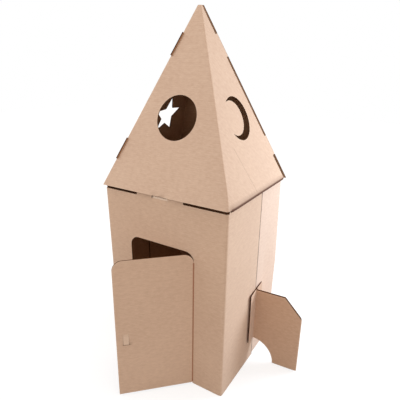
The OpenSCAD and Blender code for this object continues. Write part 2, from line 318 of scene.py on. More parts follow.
def sheet_of_card(name, loops, lines, place, skin, body, node,
                  flip=False, painted_shades=(), painted_highlights=(), grain=(1.0, 0.0)):
    """A folded sheet: outer and inner liner, sunk cut edge and wavy fluting, put in space by place(flat, depth).

    The cut edge runs from the outer liner's rim through four rows to the inner liner's rim; the two middle rows
    are moved into the sheet by EDGE_RECESS, against the mean of the outward normals of the rim.
    """
    loops = [turned(loop, -1 if k else 1) for k, loop in enumerate(loops)]
    flat, tris = cut_flat(loops, list(lines) + painted_shade_lines(painted_shades))
    n = len(flat)
    edges = np.concatenate([tris[:, [0, 1]], tris[:, [1, 2]], tris[:, [2, 0]]])
    _, first, count = np.unique(np.sort(edges, 1), axis=0, return_index=True, return_counts=True)
    rim = edges[first[count == 1]]
    run = flat[rim[:, 1]] - flat[rim[:, 0]]
    normal = np.zeros((n, 2))
    np.add.at(normal, rim.ravel(), np.repeat(unit(np.stack([run[:, 1], -run[:, 0]], 1)), 2, axis=0))
    ends = np.unique(rim)
    m = len(ends)
    inward = flat[ends] - EDGE_RECESS * unit(normal[ends])
    rows = [(flat[ends], LINER), (inward, LINER), (inward, CARD - LINER), (flat[ends], CARD - LINER)]
    points = [place(flat, 0.0), place(flat, CARD)] + [place(p, w) for p, w in rows]
    level = np.stack([flat @ grain, flat @ [-grain[1], grain[0]]], 1)
    chart = [level, level] + [np.stack([p[:, 0] + p[:, 1], np.full(m, w)], 1) for p, w in rows]
    on_rim = np.zeros(n, int)
    on_rim[ends] = np.arange(m)
    ring = [rim] + [on_rim[rim] + 2 * n + k * m for k in range(len(rows))] + [rim + n]
    quads = np.concatenate([np.stack([p[:, 1], p[:, 0], q[:, 0], q[:, 1]], 1) for p, q in zip(ring, ring[1:])])
    faces = [tris, tris[:, ::-1] + n, *halves(quads)]
    kinds = [SKIN, LINING, RIM, RIM]

    base = 2 * n + len(rows) * m
    for loop in loops:
        tube = fluting(loop)
        points += [place(p, w) for p, w in tube]
        chart += [np.stack([p[:, 0] + p[:, 1], w], 1) for p, w in tube]
        k = len(tube[0][0])
        here = np.arange(k)[:, None] + base + k * np.arange(len(tube))[None]
        beyond, lower = np.roll(here, -1, axis=0), np.roll(here, -1, axis=1)
        faces += halves(np.stack([beyond, here, lower, np.roll(lower, -1, axis=0)], 2).reshape(-1, 4))
        kinds += [FLUTE, FLUTE]
        base += len(tube) * k

    finish = (skin, CUT_EDGE, FLUTING, INSIDE)
    piece = new_mesh(name, np.concatenate(points) * MM, faces, kinds, np.concatenate(chart) * MM, finish, flip)
    edge_wear, shade = np.zeros(base, np.float32), np.zeros(base, np.float32)
    edge_wear[ends], edge_wear[ends + n] = 1, 1
    # Painted shade (above 0) and painted highlight (below 0) at the points of the outer liner
    shade[:n] = painted_light_depth(flat, painted_shades, painted_highlights)
    piece.data.attributes.new("edge_wear", "FLOAT", "POINT").data.foreach_set("value", edge_wear)
    piece.data.attributes.new("painted_shade_and_highlight", "FLOAT", "POINT").data.foreach_set("value", shade)
    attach(piece, body)
    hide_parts(node)


# How each flat sheet is folded
def wall_folds(width, turn):
    """A U-shaped wall sheet: straight, a quarter turn of WALL_FOLD_R at each corner, straight again.

    The front sheet's lip is pushed in evenly from its foot to its top. One corner leans out by an amount read off
    at its height, which eases to nothing along the face and along the side. Turn is 1 in front and -1 behind.
    """
    half, arc = width / 2 - WALL_FOLD_R, WALL_FOLD_R * QUARTER
    heights, amounts, lean_run = FRONT_LEAN if turn > 0 else REAR_LEAN

    def place(flat, w):
        u, v = flat.T
        s = np.abs(u)
        a = np.clip(s - half, 0, arc) / WALL_FOLD_R
        x = np.sign(u) * (np.minimum(s, half) + (WALL_FOLD_R - w) * np.sin(a))
        y = FRONT_Y + WALL_FOLD_R - (WALL_FOLD_R - w) * np.cos(a) + np.maximum(s - half - arc, 0)
        lip = (np.abs(u - BRIDGE_X) < LIP_W / 2 - SLIP / 2) & (v > LIP_Z) & (v < LIP_TOP + SLIP / 2)
        y = y + np.where((turn > 0) & lip, LIP_PUSH * (v - LIP_Z) / LIP_H, 0)
        near = np.clip(-u / half, 0, 1) * np.clip(1 - (s - half - arc) / lean_run, 0, 1)
        x = x - np.interp(v, heights, amounts) * near**2 * (3 - 2 * near)
        return np.stack([turn * x, turn * y, v], 1)

    return place, half, arc


def door_place(flat, w):
    """The door flap, turned about its crease.

    It bows in by DOOR_BOW times the squared share across, times the squared sine of the share of its height. The
    pull tab is pushed out evenly from its top to its foot.
    """
    u, v = flat.T
    across, top = np.abs(u - PULL_X) <= PULL_W / 2 + PULL_EDGE, PULL_Z + PULL_H
    tab = across & (v > PULL_Z - PULL_EDGE) & (v < top)
    y = w + DOOR_BOW * (u / DOOR_W) ** 2 * np.sin(np.pi * np.clip(v / (DOOR_H + DOOR_FOOT), 0, 1)) ** 2
    y = y - np.where(tab, PULL_LIFT * (top - v) / PULL_H, 0)
    c, s = np.cos(DOOR_OPEN), np.sin(DOOR_OPEN)
    return np.stack([DOOR_X + u * c - y * s, FRONT_Y + u * s + y * c, v], 1)


# Axes of the ridge's fold and of the eave's fold
N_END = np.array([0, -np.sin(SLOPE_END), np.cos(SLOPE_END)])
N_SIDE = np.array([np.sin(SLOPE_SIDE), 0, np.cos(SLOPE_SIDE)])
RIDGE_TURN = np.arccos(N_END @ N_SIDE)
RIDGE_ARC = FOLD_R * RIDGE_TURN
ACROSS = (N_SIDE - np.cos(RIDGE_TURN) * N_END) / np.sin(RIDGE_TURN)
ALONG = np.cross(N_END, ACROSS)
DOWN_SIDE = np.cos(RIDGE_TURN) * ACROSS - np.sin(RIDGE_TURN) * N_END
RIDGE_START = np.array([EAVE_X, -EAVE_Y, EAVE_Z]) - FOLD_R * (N_END + N_SIDE) / (1 + np.cos(RIDGE_TURN))
EAVE_ARC = FOLD_R * (np.pi - SLOPE_SIDE)
EAVE_AXIS = np.array([EAVE_X, EAVE_Z]) - FOLD_R * np.array([np.sin(SLOPE_SIDE), np.cos(SLOPE_SIDE)])


def end_flat(points):
    """Places on the end face, across and up from the middle of its eave, put into the flat pattern of the sheet."""
    x, y = np.atleast_2d(np.asarray(points, float)).T
    e = np.stack([x, -EAVE_Y + y * np.cos(SLOPE_END), EAVE_Z + y * np.sin(SLOPE_END)], 1) - RIDGE_START
    return np.stack([(e - FOLD_R * N_END) @ ACROSS, e @ ALONG], 1)


def side_flat(points):
    """The same for the side face: it starts behind the ridge's fold."""
    x, y = np.atleast_2d(np.asarray(points, float)).T
    e = np.stack([EAVE_X - y * np.cos(SLOPE_SIDE), x, EAVE_Z + y * np.sin(SLOPE_SIDE)], 1) - RIDGE_START
    return np.stack([RIDGE_ARC + (e - FOLD_R * N_SIDE) @ DOWN_SIDE, e @ ALONG], 1)


# Bends of the tongue as Y and Z, and the two runs between them
TONGUE_TOP, TONGUE_BEND, TONGUE_FOOT = np.array(
    [[-EAVE_Y, EAVE_Z], [TONGUE_Y, LIP_TOP + SLIP], [TONGUE_Y, EAVE_Z - TONGUE_LEN]])
TONGUE_BACK = np.linalg.norm(TONGUE_BEND - TONGUE_TOP)
TONGUE_ALL = TONGUE_BACK + np.linalg.norm(TONGUE_FOOT - TONGUE_BEND)


def tongue_path(d, w):
    """Y and Z of the tongue, d along it and w into it: back under the bridge, then down behind the wall.

    Places and normals are read off evenly between five knots, and the card thins to TONGUE_THIN at the start.
    """
    back = (TONGUE_BEND - TONGUE_TOP) / TONGUE_BACK
    knots = [0, TONGUE_START, TONGUE_BACK - TONGUE_EASE, TONGUE_BACK + TONGUE_EASE, TONGUE_ALL]
    at = np.array([TONGUE_TOP, TONGUE_TOP + TONGUE_START * back, TONGUE_BEND - TONGUE_EASE * back,
                   TONGUE_BEND - [0, TONGUE_EASE], TONGUE_FOOT])
    under = np.array([back[1], -back[0]])
    way = np.array([[-np.sin(SLOPE_END), np.cos(SLOPE_END)], under, under, [-1, 0], [-1, 0]])
    thin = w * np.interp(d, [0, TONGUE_START], [1, TONGUE_THIN])
    return [np.interp(d, knots, at[:, k]) - thin * np.interp(d, knots, way[:, k]) for k in (0, 1)]


def roof_folds(turn):
    """A roof sheet: end face, ridge fold of FOLD_R, side face; flange and tongue bend below the eaves.

    The lower end of the ridge is tucked in by TUCK, which falls off with the square of the height and of the way
    from the ridge. The tip is cut level. Turn is 1 for the front sheet and -1 for the rear one, turned half round.
    """
    def place(flat, w):
        p, q = flat.T
        a = np.clip(p, 0, RIDGE_ARC) / FOLD_R
        bend = np.cos(a)[:, None] * N_END + np.sin(a)[:, None] * ACROSS
        level = RIDGE_START + q[:, None] * ALONG + np.minimum(p, 0)[:, None] * ACROSS
        level = level + np.maximum(p - RIDGE_ARC, 0)[:, None] * DOWN_SIDE
        outer, point = level + FOLD_R * bend, level + np.reshape(FOLD_R - w, (-1, 1)) * bend
        below = EAVE_Z - outer[:, 2]
        under = below > BELOW_EAVE
        y, z = tongue_path(below / np.sin(SLOPE_END), w)
        point = np.where(((p < 0) & under)[:, None], np.stack([outer[:, 0], y, z], 1), point)
        d = below / np.sin(SLOPE_SIDE)
        a = QUARTER - SLOPE_SIDE - np.clip(d, 0, EAVE_ARC) / FOLD_R
        x = EAVE_AXIS[0] + (FOLD_R - w) * np.cos(a) - np.maximum(d - EAVE_ARC, 0)
        flange = np.stack([x, outer[:, 1], EAVE_AXIS[1] + (FOLD_R - w) * np.sin(a)], 1)
        point = np.where(((p > RIDGE_ARC) & under)[:, None], flange, point)
        off = EAVE_X - outer[:, 0] + EAVE_Y + outer[:, 1]
        off = off + below * (1 / np.tan(SLOPE_SIDE) + 1 / np.tan(SLOPE_END))
        low = np.clip(1 - np.maximum(-below, 0) / TUCK_H, 0, 1)
        point[:, 0] -= TUCK * low**2 * np.clip(1 - np.abs(off) / TUCK_W, 0, 1) ** 2
        point[:, 2] = np.minimum(point[:, 2], EAVE_Z + ROOF_H - TIP_CUT)
        return point * [turn, turn, 1]

    return place


def fin_folds(side):
    """A doubled fin: a turn of OUTER_R about a standing line, two leaves, and a quarter turn out to each flange.

    The flanges run along the wall. The front one lifts off it evenly to its end, the rear one goes in by a card.
    Side is 1 on the right and -1 on the left.
    """
    def place(flat, w):
        u, v = flat.T
        front = u < 0
        s = np.abs(u)
        a = np.clip(s, 0, OUTER_ARC) / OUTER_R
        x = OUTER_X + (OUTER_R - w) * np.cos(a) - np.clip(s - OUTER_ARC, 0, LEAF)
        y = (OUTER_R - w) * np.sin(a)
        t = np.clip(s - OUTER_ARC - LEAF, 0, ROOT_ARC) / ROOT_ARC * QUARTER
        r = FOLD_R - CARD + w
        d = np.maximum(s - OUTER_ARC - LEAF - ROOT_ARC, 0)
        share = d / (ARM_LEN - LEAF_GAP / 2 - FOLD_R)
        x = x - r * np.sin(t) + share * np.where(front, ARM_LIFT, -CARD - SLIP)
        y = y + r * (1 - np.cos(t)) + d
        return np.stack([side * (BODY_W / 2 + x), SEAM_Y + np.where(front, -y, y), v], 1)

    return place


# Materials
def srgb(*c):
    """Linear colour of red, green and blue from 0 to 255, by the display curve: straight near black, then a power."""
    c = np.array(c) / 255
    return (*np.where(c <= 0.04045, c / 12.92, ((c + 0.055) / 1.055) ** 2.4), 1.0)


WHITE, BLACK = (1, 1, 1, 1), (0, 0, 0, 1)
NO_STRETCH = (1, 1, 1)

# Noises: scale for a metre of card, detail, and stretch
CLOUDS = (5.0, 2.0, NO_STRETCH)
FLECKS = (95.0, 2.0, (0.45, 1, 1))
FIBRES = (240.0, 4.0, (0.3, 1, 1))
PULP = (900.0, 2.0, NO_STRETCH)
TORN = (420.0, 3.0, NO_STRETCH)
DUST = (38.0, 2.0, NO_STRETCH)
BROKEN = (300.0, 4.0, (1, 0.3, 1))
NOISE_ROUGH = 0.55

# Kraft liner: shares of its tone and of its relief, and ramps as low, high, value at low, value at high
CLOUD_TONE, FIBRE_TONE, FLECK_TONE, FLUTE_TONE = 0.35, 0.45, 0.55, 0.035
FIBRE_RELIEF, FLUTE_RELIEF, PAINTED_LIGHT_RELIEF = 0.5, 0.16, -0.6
TONE_RAMP = (0.52, 0.83, 0.0, 1.0)
SPECK_RAMP, SPECK_BROWN = (0.66, 0.75, 0.0, 0.3), srgb(120, 82, 52)
FIBRE_RAMP, FIBRE_PALE = (0.62, 0.72, 0.0, 0.18), srgb(244, 226, 205)
RUB_POWER, RUB_SHARE, RUB_PALE = 3.0, 0.4, srgb(232, 208, 182)
# Colours of the painted shade and the painted highlight
PAINTED_SHADE_COLOUR, PAINTED_HIGHLIGHT_COLOUR = srgb(90, 51, 27), srgb(250, 230, 208)
LINER_ROUGH = (0.3, 0.7, 0.78, 0.92)
LINER_SHEEN, SHEEN_ROUGH, LINER_SHINE = 0.3, 0.5, 0.25

# Cut edge and crease: shares of the noises, and roughness as a share of the noise and a start
LINER_BLUR = 0.04
TORN_SHARE, TORN_BROWN = 0.4, srgb(84, 50, 26)
DUST_SHARE, DUST_PALE = 0.1, srgb(176, 130, 90)
TORN_ROUGH, CREASE_ROUGH = (0.15, 0.8), (0.15, 0.78)
EDGE_SHINE, CREASE_SHINE = 0.0, 0.2
CREASE_DEEP, CREASE_PALE = srgb(150, 98, 74), srgb(192, 142, 112)

# Relief as strength and height in metres
LINER_BUMP, EDGE_BUMP, CREASE_BUMP = (0.35, 0.0006), (0.4, 0.0004), (0.5, 0.0004)

# Sockets of a mix node that are for colours
MIX_A, MIX_B, MIX_RESULT = 6, 7, 2


class Shader:
    """Nodes of a material or of the world, made and joined by short calls."""

    def __init__(self, owner, output="ShaderNodeOutputMaterial"):
        self.owner = owner
        owner.use_nodes = True
        self.nodes, self.links = owner.node_tree.nodes, owner.node_tree.links
        self.nodes.clear()
        self.out = self.nodes.new(output)

    def add(self, kind, inputs=None, **settings):
        """A node with settings; an input that is a socket is joined, any other is set."""
        made = self.nodes.new(kind)
        for key, value in settings.items():
            setattr(made, key, value)
        for key, value in (inputs or {}).items():
            if isinstance(value, bpy.types.NodeSocket):
                self.links.new(value, made.inputs[key])
            else:
                made.inputs[key].default_value = value
        return made

    def math(self, operation, a, b=0.0):
        """One sum on two values."""
        return self.add("ShaderNodeMath", {0: a, 1: b}, operation=operation).outputs[0]

    def total(self, *parts):
        """Sum of values, each times its share."""
        scaled = [self.math("MULTIPLY", value, share) for value, share in parts]
        result = scaled[0]
        for value in scaled[1:]:
            result = self.math("ADD", result, value)
        return result

    def ramp(self, value, low, high, at_low, at_high):
        """A straight ramp between two values, level outside them."""
        return self.add("ShaderNodeMapRange", {0: value, 1: low, 2: high, 3: at_low, 4: at_high}).outputs[0]

    def flat_map(self):
        """Place on the flat pattern in metres, and its second part alone."""
        flat = self.add("ShaderNodeTexCoord").outputs["UV"]
        return flat, self.add("ShaderNodeSeparateXYZ", {0: flat}).outputs[1]

    def noise(self, vector, scale, detail, stretch):
        """Cloudy noise over a stretched map."""
        place = self.add("ShaderNodeMapping", {"Vector": vector, "Scale": stretch}).outputs[0]
        inputs = {"Vector": place, "Scale": scale, "Detail": detail, "Roughness": NOISE_ROUGH}
        return self.add("ShaderNodeTexNoise", inputs).outputs["Fac"]

    def attribute(self, name):
        """A value that the mesh holds at its points."""
        return self.add("ShaderNodeAttribute", attribute_name=name).outputs["Fac"]

    def mix(self, share, a, b):
        """Colour a at share 0 and colour b at share 1."""
        return self.add("ShaderNodeMix", {0: share, MIX_A: a, MIX_B: b}, data_type="RGBA").outputs[MIX_RESULT]

    def seen_rays(self):
        """1 for rays from the camera, from gloss and through glass, 0 for those that only light the scene."""
        path = self.add("ShaderNodeLightPath").outputs
        bent = self.math("MAXIMUM", path["Is Glossy Ray"], path["Is Transmission Ray"])
        return self.math("MAXIMUM", path["Is Camera Ray"], bent)

    def card(self, colour, rough, height, bump, shine, **more):
        """The finished card surface, joined to the output."""
        relief = self.add("ShaderNodeBump", {"Height": height, "Strength": bump[0], "Distance": bump[1]}).outputs[0]
        inputs = {"Base Color": colour, "Roughness": rough, "Normal": relief, "Specular IOR Level": shine}
        return self.finish(self.add("ShaderNodeBsdfPrincipled", {**inputs, **more}))

    def finish(self, made):
        """Joins the last node to the output and gives back the material or world."""
        self.links.new(made.outputs[0], self.out.inputs[0])
        return self.owner


def kraft_liner(name, pale, deep, sheen=LINER_SHEEN, shine=LINER_SHINE):
    """Kraft liner: two near browns mixed by soft clouds, long fibres, flecks and a faint washboard of the flutes.

    Over them lie dark specks of pulp, pale fibres, pale rubbed edges, and the sheet's painted shade and painted
    highlights.
    """
    s = Shader(bpy.data.materials.new(name))
    flat, v = s.flat_map()
    clouds, flecks = s.noise(flat, *CLOUDS), s.noise(flat, *FLECKS)
    fibres, pulp = s.noise(flat, *FIBRES), s.noise(flat, *PULP)
    wave = s.math("SINE", s.math("MULTIPLY", v, 2 * np.pi / (FLUTE_PITCH * MM)))
    tone = s.total((clouds, CLOUD_TONE), (fibres, FIBRE_TONE), (flecks, FLECK_TONE), (wave, FLUTE_TONE))
    colour = s.mix(s.ramp(tone, *TONE_RAMP), deep, pale)
    colour = s.mix(s.ramp(pulp, *SPECK_RAMP), colour, SPECK_BROWN)
    colour = s.mix(s.ramp(fibres, *FIBRE_RAMP), colour, FIBRE_PALE)
    rub = s.math("MULTIPLY", s.math("POWER", s.attribute("edge_wear"), RUB_POWER),
                 s.math("MULTIPLY", clouds, RUB_SHARE))
    colour = s.mix(rub, colour, RUB_PALE)
    # The sheet's painted shade darkens the colour and its painted highlight pales it; both dent the relief
    painted_shade_and_highlight = s.attribute("painted_shade_and_highlight")
    colour = s.mix(s.math("MAXIMUM", painted_shade_and_highlight, 0.0), colour, PAINTED_SHADE_COLOUR)
    colour = s.mix(s.math("MAXIMUM", s.math("MULTIPLY", painted_shade_and_highlight, -1.0), 0.0), colour, PAINTED_HIGHLIGHT_COLOUR)
    height = s.total((fibres, FIBRE_RELIEF), (wave, FLUTE_RELIEF), (s.math("ABSOLUTE", painted_shade_and_highlight), PAINTED_LIGHT_RELIEF))
    soft = {"Sheen Weight": sheen, "Sheen Roughness": SHEEN_ROUGH}
    return s.card(colour, s.ramp(clouds, *LINER_ROUGH), height, LINER_BUMP, shine, **soft)


def raw_edge(name, liner, hollow):
    """Cut edge of the card: liner ends at both sides and shade between them, by the depth in the flat map.

    Torn fibres darken it and a little dust makes it paler.
    """
    s = Shader(bpy.data.materials.new(name))
    flat, depth = s.flat_map()
    off = s.math("ABSOLUTE", s.math("SUBTRACT", depth, CARD / 2 * MM))
    inner = (CARD / 2 - LINER) * MM
    between = s.ramp(off, inner * (1 - LINER_BLUR), inner * (1 + LINER_BLUR), 0.0, 1.0)
    torn, dust = s.noise(flat, *TORN), s.noise(flat, *DUST)
    colour = s.mix(between, hollow, liner)
    colour = s.mix(s.math("MULTIPLY", torn, TORN_SHARE), colour, TORN_BROWN)
    colour = s.mix(s.math("MULTIPLY", dust, DUST_SHARE), colour, DUST_PALE)
    rough = s.math("ADD", s.math("MULTIPLY", torn, TORN_ROUGH[0]), TORN_ROUGH[1])
    return s.card(colour, rough, torn, EDGE_BUMP, EDGE_SHINE)


def broken_crease(name):
    """Creased liner of the door: brown, darker and redder where the fibres are broken."""
    s = Shader(bpy.data.materials.new(name))
    flat, _ = s.flat_map()
    broken = s.noise(flat, *BROKEN)
    colour = s.mix(broken, CREASE_DEEP, CREASE_PALE)
    rough = s.math("ADD", s.math("MULTIPLY", broken, CREASE_ROUGH[0]), CREASE_ROUGH[1])
    return s.card(colour, rough, broken, CREASE_BUMP, CREASE_SHINE)


CUT_EDGE = raw_edge("card_cut_edge", srgb(116, 62, 27), srgb(44, 18, 3))
FLUTING = raw_edge("card_fluting", srgb(90, 46, 18), srgb(78, 38, 14))
INSIDE = kraft_liner("kraft_inside", srgb(192, 150, 116), srgb(178, 136, 102), sheen=0.0, shine=0.1)
WALL_SKIN = kraft_liner("kraft_front", srgb(218, 185, 157), srgb(207, 172, 144))
DOOR_SKIN = kraft_liner("kraft_door", srgb(222, 188, 160), srgb(211, 176, 148))
REAR_SKIN = kraft_liner("kraft_rear", srgb(228, 199, 177), srgb(218, 187, 164))
ROOF_SKIN = kraft_liner("kraft_roof", srgb(215, 185, 160), srgb(204, 172, 147), sheen=0.1)
FIN_SKIN = kraft_liner("kraft_fin", srgb(212, 176, 147), srgb(201, 163, 134))


# Wall sheets
def doorway_edge():
    """Left side, round top and crease side of the doorway, from the floor and back to it."""
    left, top = DOOR_X - DOOR_W - DOOR_CUT, DOOR_FOOT + DOOR_H + DOOR_CUT
    r = DOOR_R + DOOR_CUT
    last = np.degrees(np.arccos(DOOR_R / r))
    return outline((left, 0), bow(left + r, top - r, r, 180, 90, FREE_CORNER_PARTS),
                   bow(DOOR_X - DOOR_R, top - r, r, 90, last, CREASE_CORNER_PARTS), (DOOR_X, 0))


def wall_sheet(name, width, side, turn, skin, node):
    """A wall sheet's outline: foot with the doorway in front, right edge, top with its bridge, left edge.

    The front sheet's upright edges are cut back by the size of a sum of sines of the height. The lip is freed by a
    slit round three of its sides. Turn is 1 for the front sheet and -1 for the rear one.
    """
    front = turn > 0
    place, half, arc = wall_folds(width, turn)
    corner = half + arc
    end = corner + side - WALL_FOLD_R
    v = np.linspace(0, WALL_H, SEAM_POINTS)
    waver = sum(h * np.sin(2 * np.pi * v / long + start) for h, long, start in SEAM_WAVES)
    cut = end - np.abs(waver) * front
    right, left = np.stack([cut, v], 1), np.stack([-cut, v], 1)[::-1]
    b0, b1 = BRIDGE_X - BRIDGE_W / 2, BRIDGE_X + BRIDGE_W / 2
    top = [(corner, WALL_H), (corner, END_TOP), (b1, END_TOP), (b1, BRIDGE_TOP),
           (b0, BRIDGE_TOP), (b0, END_TOP), (-corner, END_TOP), (-corner, WALL_H)]
    doorway = doorway_edge() if front else []
    rim = outline(left[-1], *doorway, right, top, left[:-1])
    l0, l1 = BRIDGE_X - LIP_W / 2, BRIDGE_X + LIP_W / 2
    lip_slit = outline((l0, LIP_Z), (l0 + SLIP, LIP_Z), (l0 + SLIP, LIP_TOP), (l1 - SLIP, LIP_TOP),
                       (l1 - SLIP, LIP_Z), (l1, LIP_Z), (l1, EAVE_Z - SLIP), (l0, EAVE_Z - SLIP))
    lines = [((sign * u, LINE_END), (sign * u, END_TOP - LINE_END))
             for u in fold_steps(half, arc) for sign in (-1, 1)]
    lines += [((l0 + 2 * SLIP, LIP_Z + k * LIP_H), (l1 - 2 * SLIP, LIP_Z + k * LIP_H)) for k in LIP_LINES]
    # Painted shade lines down the front sheet's two seams, where one sheet laps the other
    painted_shades = [((sign * end, 0), (sign * end, WALL_H), *SEAM_PAINTED_SHADE) for sign in (-1, 1)] if front else []
    # Painted highlight on the upper part of the lip, whose face tilts up
    pale = ((l0 + SLIP / 2, LIP_Z + LIP_HIGHLIGHT_FROM * LIP_H), (l1 - SLIP / 2, LIP_TOP + SLIP), LIP_PAINTED_HIGHLIGHT)
    sheet_of_card(name, [rim, lip_slit], lines, place, skin, "house", node, painted_shades=painted_shades, painted_highlights=[pale])


wall_sheet("front_wall_card", BODY_W, FRONT_SIDE, 1, WALL_SKIN, "front_sheet")
wall_sheet("rear_wall_card", REAR_W, REAR_SIDE, -1, REAR_SKIN, "rear_sheet")

# Roof sheets: depth of a notch, and how far an edge stays back or a tab stands out in the plane of its face
NOTCH = CARD * np.sin(RIDGE_TURN) + SLIP
BUTT = (CARD + SLIP) / np.sin(RIDGE_TURN)
TAB_OUT = TAB_PROUD / np.sin(RIDGE_TURN)


def ridge_points(half, rise, way, along, out):
    """Points at distances along a ridge from its eave corner, and out of the face at right angles to the ridge.

    Way is 1 for the ridge on the right of the face and -1 for the one on the left.
    """
    long = np.hypot(half, rise)
    along, out = np.broadcast_arrays(np.asarray(along, float), np.asarray(out, float))
    x = half - along * half / long + out * rise / long
    return np.stack([way * x, along * rise / long + out * half / long], 1)


def tabbed_edge():
    """Back edge of the side face, from eave to tip: set back by BUTT and a ridge gap, and out by TAB_OUT at tabs."""
    long = np.hypot(EAVE_Y, SIDE_RISE)
    gaps = [BUTT + gap for gap in RIDGE_GAPS]
    up, out = [gaps[0] * EAVE_Y / SIDE_RISE], [-gaps[0]]
    for s, below, above in zip(TAB_FROM, gaps, gaps[1:]):
        up += [s, s, s + TAB_LEN, s + TAB_LEN]
        out += [-below, TAB_OUT, TAB_OUT, -above]
    up += [(SIDE_TIP - TIP_RUN) * long / SIDE_RISE, (SIDE_TIP + BUTT * EAVE_Y / long) * long / SIDE_RISE]
    out += [-gaps[-1], -BUTT]
    return side_flat(ridge_points(EAVE_Y, SIDE_RISE, 1, up, out))


def notched_edge(proud):
    """Left edge of the end face, from tip to eave: out by proud, and cut in by NOTCH where tabs pass."""
    long = np.hypot(EAVE_X, END_RISE)
    down, out = [(END_TIP - proud * EAVE_X / long) * long / END_RISE], [proud]
    for s in TAB_FROM[::-1]:
        high, low = s + TAB_LEN + SLIP, s - SLIP
        down += [high, high, low, low]
        out += [proud, -NOTCH, -NOTCH, proud]
    down.append(-proud * EAVE_X / END_RISE)
    out.append(proud)
    return end_flat(ridge_points(EAVE_X, END_RISE, -1, down, out))


def crossing(ends, p):
    """Where the straight line through two places of the flat pattern crosses the fold line at p."""
    a, b = ends
    return a + (b - a) * (p - a[0]) / (b[0] - a[0])


def roof_sheet(name, turn, proud, windows, node):
    """A roof sheet's outline: tongue, eave, eave flange, tabbed edge, level tip and notched edge.

    The eaves and the tip meet the ridge's fold where their lines cross its two sides.
    """
    f = EAVE_Y - FLANGE_END
    t0, t1 = BRIDGE_X - TONGUE_W / 2, BRIDGE_X + TONGUE_W / 2
    foot = -EAVE_ARC - FLANGE_W
    flange = [(-f, 0), (-f, -EAVE_ARC), (-f + FLANGE_TAPER, foot),
              (f - FLANGE_TAPER, foot), (f, -EAVE_ARC), (f, 0)]
    low_end = crossing(end_flat([(0, 0), (EAVE_X, 0)]), 0)
    low_side = crossing(side_flat([(-EAVE_Y, 0), (0, 0)]), RIDGE_ARC)
    top_end = crossing(end_flat([(-TIP_NEAR, END_TIP), (TIP_FAR, END_TIP)]), 0)
    top_side = crossing(side_flat([(-TIP_FAR, SIDE_TIP), (TIP_NEAR, SIDE_TIP)]), RIDGE_ARC)
    tongue = end_flat([(t0, 0), (t0, -TONGUE_ALL), (t1, -TONGUE_ALL), (t1, 0)])
    rim = outline(tongue, low_end, low_side, side_flat(flange), tabbed_edge(),
                  top_side, top_end, notched_edge(proud))
    low, high = low_end[1] + RIDGE_LINE_END, top_end[1] - RIDGE_LINE_END
    lines = [((p, low), (p, high)) for p in fold_steps(0, RIDGE_ARC)]
    lines += [tuple(side_flat([(-f + LINE_INSET, -d), (f - LINE_INSET, -d)])) for d in fold_steps(0, EAVE_ARC)]
    lines += [tuple(end_flat([(t0 + LINE_INSET, -d), (t1 - LINE_INSET, -d)]))
              for d in (TONGUE_START, TONGUE_BACK - TONGUE_EASE, TONGUE_BACK, TONGUE_BACK + TONGUE_EASE)]
    # Painted shade under the eave fold of the side face, along a crease of the front sheet and along the ridge tabs
    painted_shades = [(*side_flat([(-f, -drop), (f, -drop)]), *fade) for drop, *fade in EAVE_PAINTED_SHADES]
    if turn > 0:
        painted_shades.append((*side_flat(ROOF_CREASE_SHADE[:2]), *ROOF_CREASE_SHADE[2:]))
    painted_shades += [(*side_flat(ridge_points(EAVE_Y, SIDE_RISE, 1, [s, s + TAB_LEN], TAB_OUT)), *TAB_PAINTED_SHADE)
              for s in TAB_FROM]
    grain = end_flat([(1, 0)])[0] - end_flat([(0, 0)])[0]
    sheet_of_card(name, [rim, *windows], lines, roof_folds(turn), ROOF_SKIN, "house", node,
                  painted_shades=painted_shades, grain=grain)


def crescent():
    """A circle less a smaller circle: the outer part of the first and the inner part of the second.

    Both parts end where the circles cross, at angles from the line of centres by the rule of cosines.
    """
    d = np.hypot(*BITE_FROM)
    way = np.degrees(np.arctan2(BITE_FROM[1], BITE_FROM[0]))
    k = (WINDOW_R**2 - BITE_R**2 + d**2) / (2 * d)
    open_a = np.degrees(np.arccos(k / WINDOW_R))
    open_b = np.degrees(np.arccos((k - d) / BITE_R))
    big = bow(0, WINDOW_V, WINDOW_R, way + open_a, way + 360 - open_a, MOON_PARTS)
    small = bow(BITE_FROM[0], WINDOW_V + BITE_FROM[1], BITE_R, way + 360 - open_b, way + open_b, BITE_PARTS)
    return np.concatenate([big, small[1:-1]])


def star():
    """Five points: the radius changes between STAR_R and STAR_NOTCH_R from corner to corner."""
    corner = np.arange(STAR_CORNERS)
    a = np.radians(90 + STAR_TURN + 360 / STAR_CORNERS * corner)
    r = np.where(corner % 2 == 0, STAR_R, STAR_NOTCH_R)
    return np.stack([-STAR_FROM[0] + r * np.cos(a), WINDOW_V + STAR_FROM[1] + r * np.sin(a)], 1)


round_window = bow(0, WINDOW_V, WINDOW_R, 0, 360, WINDOW_PARTS)[:-1]
roof_sheet("roof_front_right_card", 1, 0.0, [end_flat(round_window), side_flat(crescent())], "roof_front_right")
roof_sheet("roof_rear_left_card", -1, REAR_PROUD, [side_flat(star())], "roof_rear_left")


